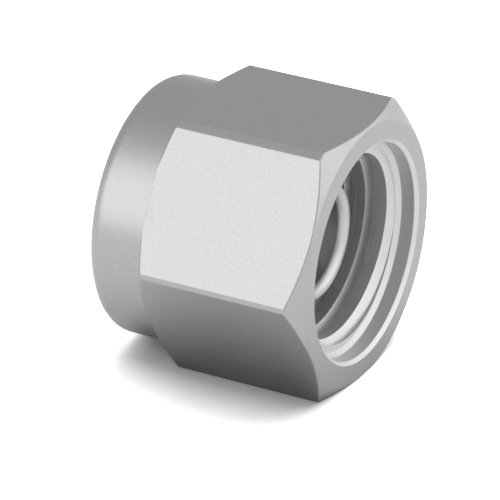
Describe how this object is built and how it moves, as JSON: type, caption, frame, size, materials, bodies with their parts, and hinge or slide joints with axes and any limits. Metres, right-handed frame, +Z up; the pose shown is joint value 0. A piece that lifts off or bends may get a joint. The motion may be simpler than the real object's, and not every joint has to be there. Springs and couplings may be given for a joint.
{
  "type": "tube plug",
  "caption": "Hexagonal plug nut with a hollow-nosed insert that turns in it, closing the port of a tube fitting.",
  "frame": {"origin": "centre of the port's front face, on the turning axis", "axes": "+X along the turning axis, out of the port; +Z up, square to the upper wrench flat, with the plug lying on the flat below"},
  "size_m": [0.0129, 0.0164, 0.0143],
  "materials": {
    "nut_steel": "satin turned and milled stainless steel",
    "insert_steel": "fine turned stainless steel"
  },
  "bodies": {
    "nut": {"plug_nut": "nut_steel"},
    "insert": {"plug_insert": "insert_steel"}
  },
  "joints": [
    {"name": "insert_swivel", "type": "hinge", "parent": "nut", "child": "insert", "pos_m": [-0.0111, 0, 0], "axis": [1, 0, 0], "continuous": true}
  ]
}
